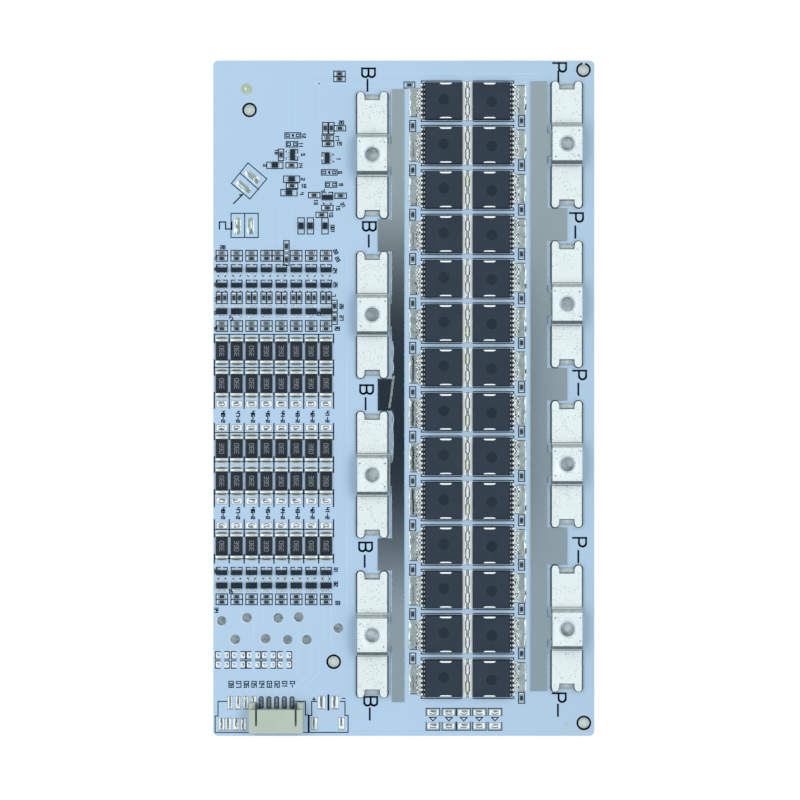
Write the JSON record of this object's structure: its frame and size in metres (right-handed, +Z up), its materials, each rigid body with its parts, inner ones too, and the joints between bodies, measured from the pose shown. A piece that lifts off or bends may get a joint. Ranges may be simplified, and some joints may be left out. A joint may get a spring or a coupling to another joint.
{
  "type": "battery management board",
  "caption": "Flat circuit board with columns of power transistors between two conductor strips, threaded bridge terminals, balancing resistors and a side entry plug socket.",
  "frame": {"origin": "middle of the board's underside", "axes": "+X across the board from the balancing resistors to the output terminals, +Y along its length towards the end away from the plug socket, +Z up out of the face that carries the parts"},
  "size_m": [0.0988, 0.175, 0.0075],
  "materials": {
    "solder_mask": "pale blue-white solder mask, satin, over an aluminium base plate",
    "tinned_terminal": "matte tin plate, slightly pitted",
    "tinned_strip": "smooth bright tinned sheet",
    "black_moulding": "dark slate epoxy moulding, fine grain",
    "tinned_leads": "tinned, bright",
    "resistor_coat": "black overglaze",
    "capacitor_ceramic": "tan ceramic, satin",
    "small_moulding": "black epoxy moulding",
    "socket_plastic": "pale ivory nylon, slightly green"
  },
  "bodies": {
    "root": {"balancing_resistor_ends": "tinned_leads", "balancing_resistors_row_1": "resistor_coat", "balancing_resistors_row_2": "resistor_coat", "balancing_resistors_row_3": "resistor_coat", "balancing_resistors_row_4": "resistor_coat", "balancing_resistors_row_5": "resistor_coat", "battery_strip": "tinned_strip", "battery_terminal_1": "tinned_terminal", "battery_terminal_2": "tinned_terminal", "battery_terminal_3": "tinned_terminal", "battery_terminal_4": "tinned_terminal", "chip_capacitors": "capacitor_ceramic", "chip_resistors": "resistor_coat", "circuit_board": "solder_mask", "gate_resistors": "resistor_coat", "output_strip": "tinned_strip", "output_terminal_1": "tinned_terminal", "output_terminal_2": "tinned_terminal", "output_terminal_3": "tinned_terminal", "output_terminal_4": "tinned_terminal", "power_transistor_left_01": "black_moulding", "power_transistor_left_02": "black_moulding", "power_transistor_left_03": "black_moulding", "power_transistor_left_04": "black_moulding", "power_transistor_left_05": "black_moulding", "power_transistor_left_06": "black_moulding", "power_transistor_left_07": "black_moulding", "power_transistor_left_08": "black_moulding", "power_transistor_left_09": "black_moulding", "power_transistor_left_10": "black_moulding", "power_transistor_left_11": "black_moulding", "power_transistor_left_12": "black_moulding", "power_transistor_left_13": "black_moulding", "power_transistor_left_14": "black_moulding", "power_transistor_right_01": "black_moulding", "power_transistor_right_02": "black_moulding", "power_transistor_right_03": "black_moulding", "power_transistor_right_04": "black_moulding", "power_transistor_right_05": "black_moulding", "power_transistor_right_06": "black_moulding", "power_transistor_right_07": "black_moulding", "power_transistor_right_08": "black_moulding", "power_transistor_right_09": "black_moulding", "power_transistor_right_10": "black_moulding", "power_transistor_right_11": "black_moulding", "power_transistor_right_12": "black_moulding", "power_transistor_right_13": "black_moulding", "power_transistor_right_14": "black_moulding", "small_amplifiers": "small_moulding", "small_diodes": "small_moulding", "small_transistors": "small_moulding", "socket_contacts": "tinned_leads", "socket_housing": "socket_plastic", "transistor_leads_left": "tinned_leads", "transistor_leads_right": "tinned_leads", "transistor_tabs_left": "tinned_leads", "transistor_tabs_right": "tinned_leads"}
  },
  "joints": []
}
